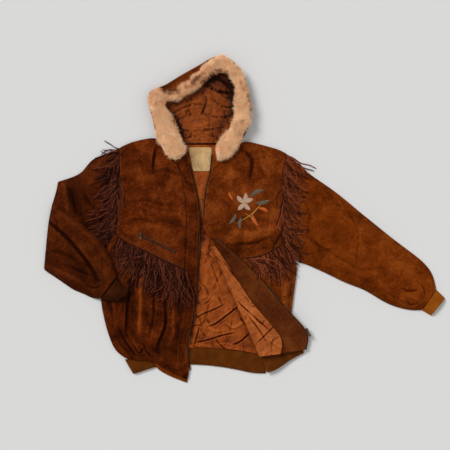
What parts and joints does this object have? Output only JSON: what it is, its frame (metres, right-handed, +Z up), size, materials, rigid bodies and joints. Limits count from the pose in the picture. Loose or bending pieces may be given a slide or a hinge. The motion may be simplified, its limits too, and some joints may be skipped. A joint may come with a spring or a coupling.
{
  "type": "hooded fringed suede jacket",
  "caption": "Brown suede hip-length jacket with a fur-trimmed hood, fringed yokes and armholes, ribbed cuffs and hem, laid flat on its back with one front turned open.",
  "frame": {"origin": "centre of the flat underside of the jacket as it lies on its back, at the surface it rests on", "axes": "+X towards the sleeve of the jacket's own left side, +Y from hem towards hood, +Z up from the surface"},
  "size_m": [1.209, 0.9882, 0.0568],
  "materials": {
    "suede": "napped suede, matt",
    "suede_facing": "napped suede, matt",
    "satin": "satin lining, soft sheen",
    "rib_knit": "ribbed knit, matt",
    "fur": "long pale fur",
    "fringe_suede": "cut suede strands, matt",
    "zip_tape": "woven tape, matt",
    "label_cloth": "woven cloth, bare",
    "zip_metal": "worn grey plating"
  },
  "bodies": {
    "jacket": {"back": "suede", "front_right": "suede", "yoke_right": "suede", "front_left": "suede", "yoke_left": "suede", "sleeve_left": "suede", "sleeve_right_upper": "suede", "sleeve_right_lower": "suede", "hood_shell": "suede", "hem_tab_right": "suede", "facing_left": "suede_facing", "back_lining": "satin", "lining_left": "satin", "hood_lining": "satin", "waistband_back": "rib_knit", "waistband_front_right": "rib_knit", "waistband_front_left": "rib_knit", "cuff_left": "rib_knit", "cuff_right": "rib_knit", "fur_trim": "fur", "fringe_armhole_right": "fringe_suede", "fringe_armhole_left": "fringe_suede", "fringe_yoke_right": "fringe_suede", "fringe_yoke_left": "fringe_suede", "zip_tape_right": "zip_tape", "zip_tape_left": "zip_tape", "zip_tape_turned": "zip_tape", "pocket_zip": "zip_tape", "neck_label": "label_cloth", "main_slider": "zip_metal", "pocket_slider": "zip_metal"},
    "zip_pull": {"main_pull": "zip_metal"},
    "pocket_zip_pull": {"pocket_pull": "zip_metal"}
  },
  "joints": [
    {"name": "main_pull_hinge", "type": "hinge", "parent": "jacket", "child": "zip_pull", "pos_m": [0.18761, -0.33534, 0.01843], "axis": [-0.8861, -0.4635, 0], "range_deg": [0, 140]},
    {"name": "pocket_pull_hinge", "type": "hinge", "parent": "jacket", "child": "pocket_zip_pull", "pos_m": [-0.3111, -0.0462, 0.03709], "axis": [-0.9994, 0.0349, 0], "range_deg": [0, 140]}
  ]
}
